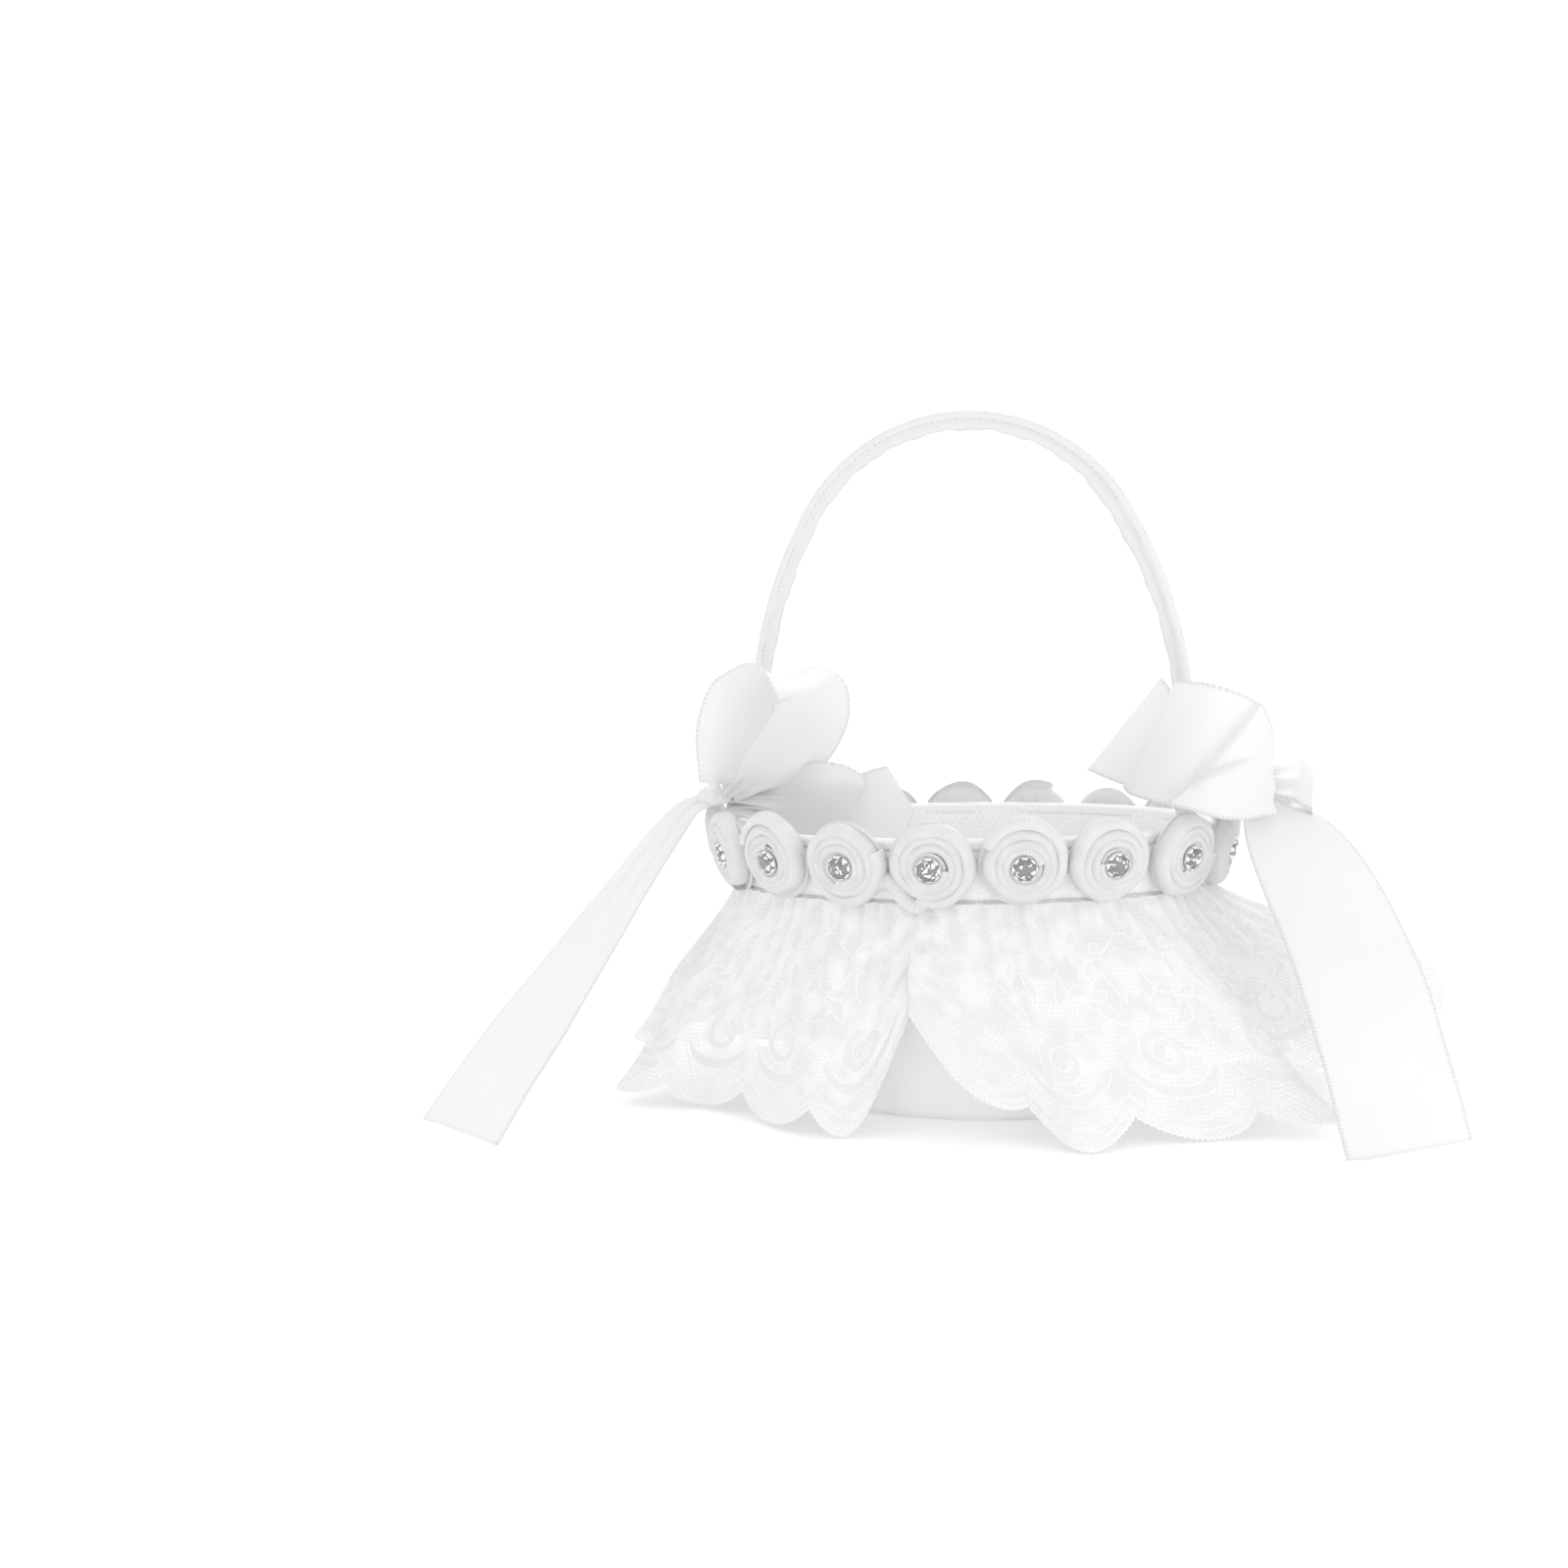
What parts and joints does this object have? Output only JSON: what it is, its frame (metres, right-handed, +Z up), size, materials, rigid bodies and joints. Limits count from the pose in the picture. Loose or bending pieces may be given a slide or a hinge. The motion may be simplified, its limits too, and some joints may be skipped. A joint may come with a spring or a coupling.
{
  "type": "flower girl basket",
  "caption": "Small oval white satin basket with a swinging arched handle, a ring of chiffon rosettes with rhinestones, a gathered lace skirt and two ribbon bows.",
  "frame": {"origin": "centre of the oval underside that the basket stands on", "axes": "+X along the handle's span, from the left bow to the right bow; -Y is the front, where the lace parts; +Z up"},
  "size_m": [0.318, 0.178, 0.2251],
  "materials": {
    "pail_board": "smooth white moulded board",
    "satin_cover": "white satin drawn tight over the pail",
    "net_lining": "white hexagonal net",
    "satin_pad": "white satin over a card",
    "net_binding": "lining net folded over the rim",
    "rosette_tape": "white net tape",
    "lace_heading": "white lace edge",
    "lace": "white corded floral lace on hexagonal net",
    "chiffon": "white pleated chiffon",
    "satin_sleeve": "white satin folded lengthwise",
    "satin_ribbon": "white double-faced satin with a woven edge",
    "rhinestone": "clear faceted stone with a foiled back",
    "plated_cups": "bright silver plate",
    "handle_wire": "white coated steel wire",
    "pins": "plain steel"
  },
  "bodies": {
    "pail": {"pail_shell": "pail_board", "satin_cover": "satin_cover", "satin_foot": "satin_cover", "net_lining": "net_lining", "floor_pad": "satin_pad", "rim_binding": "net_binding", "rosette_tape": "rosette_tape", "lace_heading": "lace_heading", "lace_skirt": "lace", "rosette_strip_end": "chiffon", "rhinestone_cups": "plated_cups", "handle_pins": "pins", "rosette_01": "chiffon", "rosette_02": "chiffon", "rosette_03": "chiffon", "rosette_04": "chiffon", "rosette_05": "chiffon", "rosette_06": "chiffon", "rosette_07": "chiffon", "rosette_08": "chiffon", "rosette_09": "chiffon", "rosette_10": "chiffon", "rosette_11": "chiffon", "rosette_12": "chiffon", "rosette_13": "chiffon", "rosette_14": "chiffon", "rosette_15": "chiffon", "rosette_16": "chiffon", "rosette_17": "chiffon", "rhinestone_01": "rhinestone", "rhinestone_02": "rhinestone", "rhinestone_03": "rhinestone", "rhinestone_04": "rhinestone", "rhinestone_05": "rhinestone", "rhinestone_06": "rhinestone", "rhinestone_07": "rhinestone", "rhinestone_08": "rhinestone", "rhinestone_09": "rhinestone", "rhinestone_10": "rhinestone", "rhinestone_11": "rhinestone", "rhinestone_12": "rhinestone", "rhinestone_13": "rhinestone", "rhinestone_14": "rhinestone", "rhinestone_15": "rhinestone", "rhinestone_16": "rhinestone", "rhinestone_17": "rhinestone", "left_bow_knot": "satin_ribbon", "left_bow_loop": "satin_ribbon", "left_bow_side_loop": "satin_ribbon", "left_bow_end": "satin_ribbon", "left_bow_tail": "satin_ribbon", "right_bow_knot": "satin_ribbon", "right_bow_loop": "satin_ribbon", "right_bow_end": "satin_ribbon", "right_bow_side_loop": "satin_ribbon", "right_bow_tail": "satin_ribbon"},
    "handle": {"handle_wire": "handle_wire", "handle_sleeve": "satin_sleeve"}
  },
  "joints": [
    {"name": "handle_swing", "type": "hinge", "parent": "pail", "child": "handle", "pos_m": [0, 0, 0.0845], "axis": [-1, 0, 0], "range_deg": [0, 50]}
  ]
}
